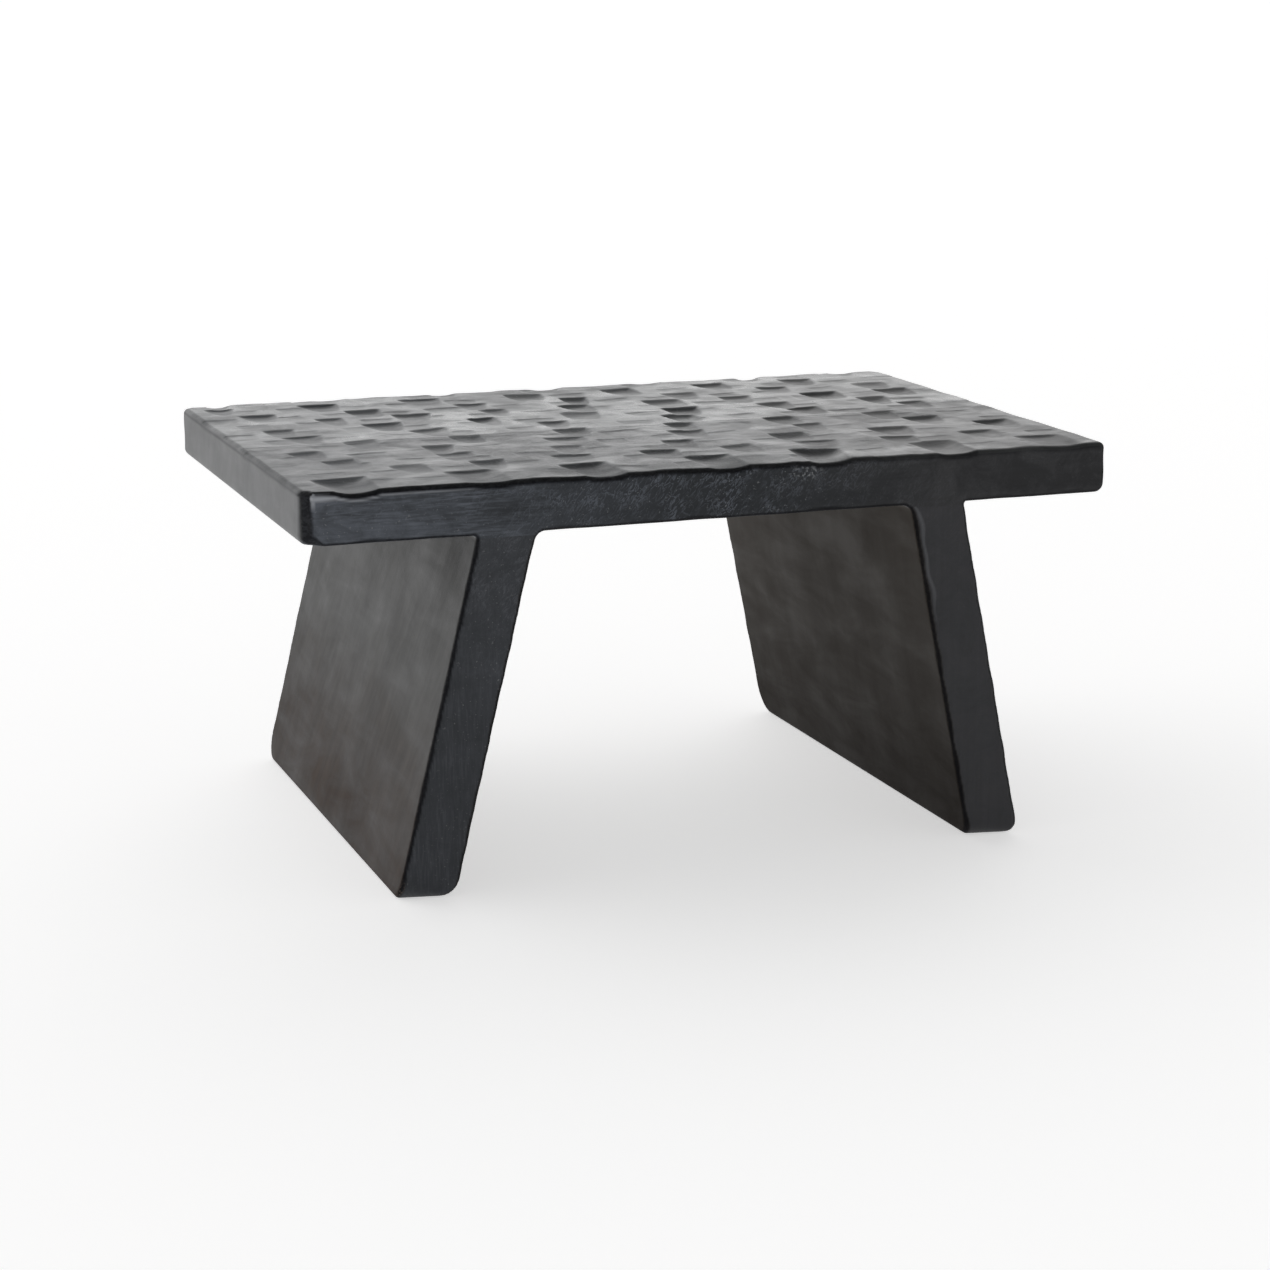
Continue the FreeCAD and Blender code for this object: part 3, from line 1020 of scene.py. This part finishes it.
        # Brown of worn stain on the legs, darker towards the floor as painted shade
        thin = self.mix(self.product(self.floorward, finish["brown"]), finish["broad"], finish["worn_and_floor_shade"])
        thin = self.scaled(thin, self.trait("cloud", *finish["cloudy"]))
        thin = self.scaled(thin, self.trait("brush", *finish["brushed"]))
        colour = self.mix(mottle, colour, thin)
        # Painted shade on the legs' inner faces, darker towards the floor
        return self.mix(self.shaded, colour, self.mix(self.trait("lower"), *INNER_FACE_SHADE))

    def marked(self, colour):
        """Flecks, a scrape, painted shade on the arrises, painted highlights at the front's edges and
        scuffed feet.
        """
        flecked = self.product(
            self.trait("fleck_patch"),
            self.midward,
            self.trait("fleck"),
            self.between(self.broad, 1.0, BROAD_FLECKS),
        )
        scraped = self.product(self.trait("scraped"), self.trait("scraped_fleck"), self.finish["streaked"])
        colour = self.mix(self.math("MAXIMUM", flecked, scraped), colour, self.finish["fleck"])
        # Painted shade on the arrises
        colour = self.mix(self.painted_arris_shade, colour, PAINTED_ARRIS_SHADE)
        # Painted highlights at the front's edges
        colour = self.mix(self.trait("painted_highlight"), colour, PAINTED_HIGHLIGHT)
        scuffed = self.product(
            self.sources["arris"], self.trait("foot"), self.trait("scuffed_fleck"), self.leftward
        )
        return self.mix(scuffed, colour, SCUFFED_WOOD)

    def roughness(self):
        """Smooth wax on the top, most in its middle, and matt broad faces, arrises and feet."""
        finish = self.finish
        burnish = self.between(self.sources["cut"], finish["burnish"], CUT_BURNISH * finish["burnish"])
        smooth = self.product(self.upward, self.total(burnish, self.trait("polish")))
        rough = self.total(
            self.trait("rough_patch", *(finish["rough"] + change for change in ROUGH_SPREAD)),
            self.trait("uneven_rough"),
            self.product(self.broad, finish["matt_sides"]),
            self.product(self.math("MAXIMUM", self.sources["arris"], self.shaded), MATT_ARRIS),
            self.product(self.floorward, finish["matt_feet"]),
        )
        return self.math("SUBTRACT", rough, smooth)

    def relief(self):
        """Relief of the fibres, the creases and the uneven stain."""
        fibres = self.total(self.trait("fibre_relief"), self.trait("streak_relief"))
        height = self.total(
            self.product(fibres, self.fibrous),
            self.product(self.trait("crease"), self.leather, self.finish["leather"]),
            self.trait("uneven_relief"),
        )
        height = self.product(height, self.between(self.broad, 1.0, BROAD_RELIEF))
        return self.bump(height, RELIEF_STRENGTH, RELIEF_DEPTH)

    def sheen(self):
        """Tint of the wax's sheen: darker and warmer towards the floor on the legs, and dark on the
        arrises, as painted shade.
        """
        # Painted shade: the legs' sheen darker towards the floor
        outer = self.mix(self.floorward, *OUTER_SHEEN)
        inner = self.mix(self.floorward, *INNER_SHEEN)
        faces = self.mix(self.shaded, outer, inner)
        edges = self.mix(self.rightward, LEFT_SHEEN, self.finish["right_sheen"])
        sheen = self.mix(self.product(self.broad, self.finish["brown"]), edges, faces)
        # Painted shade: the sheen darkened on the arrises
        return self.mix(self.painted_arris_shade, sheen, ARRIS_SHEEN)


def new_material(name):
    material = bpy.data.materials.new(name)
    material.use_nodes = True
    return material


def stained_wood(name, grain, finish):
    material = new_material(name)
    wood = StainedWood(material.node_tree, grain, finish)
    wood.shade({
        "Base Color": wood.marked(wood.thinned(wood.waxed(wood.stain()))),
        "Roughness": wood.roughness(),
        "IOR": WAX_IOR,
        "Specular Tint": wood.sheen(),
        "Normal": wood.relief(),
    })
    return material


# Bare hardwood: its fibres by waves to a metre, its colours and its roughness
BARE_FIBRES = (300.0, 300.0, 18.0)
BARE_COLOURS = ((0.50, 0.34, 0.19, 1), (0.68, 0.52, 0.34, 1))
BARE_ROUGHNESS = 0.62
BARE_RELIEF_STRENGTH = 0.2
BARE_RELIEF_DEPTH = 0.2 * MM


def bare_wood(name):
    """Bare hardwood of the dowels and tongues inside."""
    material = new_material(name)
    graph = Graph(material.node_tree)
    fibres = graph.noise(graph.place(BARE_FIBRES), detail=5.0, roughness=0.6)
    graph.shade({
        "Base Color": graph.mix(graph.span(fibres, 0.3, 0.7), *BARE_COLOURS),
        "Roughness": BARE_ROUGHNESS,
        "Normal": graph.bump(fibres, BARE_RELIEF_STRENGTH, BARE_RELIEF_DEPTH),
    })
    return material


# Studio

# A pale floor that glows a little, so that it is as bright as the backdrop
FLOOR_REACH = 80.0
FLOOR_COLOUR = (0.88, 0.88, 0.88, 1)
FLOOR_GLOW = (1.0, 0.995, 0.99, 1)
FLOOR_GLOW_STRENGTH = 0.52
FLOOR_ROUGHNESS = 0.8

# Brightness of the window behind the stool, from the horizon up, how far it is turned to the left and
# how soft its edge is; the room in front, up to its ceiling; and the backdrop that is seen
WINDOW = ((0.0, 0.80), (0.06, 0.86), (0.14, 0.94), (0.26, 1.0), (0.55, 0.75), (1.0, 0.12))
WINDOW_STRENGTH = 1.6
WINDOW_TURN = 0.35
WINDOW_EDGE = (-0.05, 0.6)
ROOM = (0.62, 0.63, 0.65, 1)
CEILING = (0.16, 0.16, 0.16, 1)
CEILING_EDGE = (0.05, 0.75)
BACKDROP = (0.96, 0.96, 0.96, 1)

# The camera that was fitted to the photo
SENSOR_WIDTH = 36
LENS = 80.99
LENS_SHIFT = (0.0054, -0.0326)
CAMERA_PLACE = (-0.6097, -1.6736, 0.5280)
CAMERA_TILT = math.radians(77.46)
CAMERA_HEADING = math.radians(-20.06)


def floor():
    mesh = bpy.data.meshes.new("floor")
    corners = [(x * FLOOR_REACH, y * FLOOR_REACH, 0) for x, y in ((-1, -1), (1, -1), (1, 1), (-1, 1))]
    mesh.from_pydata(corners, [], [(0, 1, 2, 3)])
    piece = bpy.data.objects.new("floor", mesh)
    bpy.context.collection.objects.link(piece)
    material = new_material("pale_floor")
    Graph(material.node_tree).shade({
        "Base Color": FLOOR_COLOUR,
        "Emission Color": FLOOR_GLOW,
        "Emission Strength": FLOOR_GLOW_STRENGTH,
        "Roughness": FLOOR_ROUGHNESS,
    })
    mesh.materials.append(material)


def window_level(graph, height):
    """Brightness of the window at a height."""
    window = graph.add("ShaderNodeFloatCurve", {"Value": graph.span(height, 0.0, 1.0)})
    curve = window.mapping.curves[0]
    curve.points[0].location = WINDOW[0]
    curve.points[1].location = WINDOW[-1]
    for place, level in WINDOW[1:-1]:
        curve.points.new(place, level)
    window.mapping.update()
    return graph.product(window.outputs["Value"], WINDOW_STRENGTH)


def studio_light():
    """Soft light from a bright room behind the stool and a dimmer one in front."""
    world = bpy.data.worlds.new("studio")
    bpy.context.scene.world = world
    world.use_nodes = True
    graph = Graph(world.node_tree)
    towards = graph.add("ShaderNodeTexCoord").outputs["Generated"]
    axes = graph.add("ShaderNodeSeparateXYZ", {"Vector": towards}).outputs
    behind = graph.math("SUBTRACT", axes["Y"], graph.product(axes["X"], WINDOW_TURN))
    edge = {"Value": behind, "From Min": WINDOW_EDGE[0], "From Max": WINDOW_EDGE[1]}
    share = graph.add("ShaderNodeMapRange", edge, interpolation_type="SMOOTHSTEP").outputs["Result"]
    level = window_level(graph, axes["Z"])
    window = graph.add("ShaderNodeCombineXYZ", {"X": level, "Y": level, "Z": level}).outputs["Vector"]
    room = graph.mix(graph.span(axes["Z"], *CEILING_EDGE), ROOM, CEILING)
    light = graph.mix(share, room, window)
    seen = graph.add("ShaderNodeLightPath").outputs["Is Camera Ray"]
    light = graph.mix(seen, light, BACKDROP)
    background = graph.add("ShaderNodeBackground", {"Color": light, "Strength": 1.0})
    graph.add("ShaderNodeOutputWorld", {"Surface": background.outputs["Background"]})


def camera():
    data = bpy.data.cameras.new("camera")
    data.sensor_width = SENSOR_WIDTH
    data.lens = LENS
    data.shift_x, data.shift_y = LENS_SHIFT
    piece = bpy.data.objects.new("camera", data)
    piece.location = CAMERA_PLACE
    piece.rotation_euler = (CAMERA_TILT, 0, CAMERA_HEADING)
    bpy.context.collection.objects.link(piece)
    bpy.context.scene.camera = piece


boards = seat_boards() | leg_boards("left") | leg_boards("right")
woods = {
    "seat_front_board": stained_wood("black_seat_front", "x", FRONT_FINISH),
    "seat_rear_board": stained_wood("black_seat_rear", "x", SEAT_FINISH),
}
leg_wood = stained_wood("black_leg", "z", LEG_FINISH)
for name, piece in boards.items():
    piece.data.materials.append(woods.get(name, leg_wood))
inner_wood = bare_wood("bare_wood")
for name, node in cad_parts.items():
    if name not in boards:
        node.data.materials.clear()
        node.data.materials.append(inner_wood)

floor()
studio_light()
camera()
bpy.context.scene.view_settings.view_transform = "Standard"
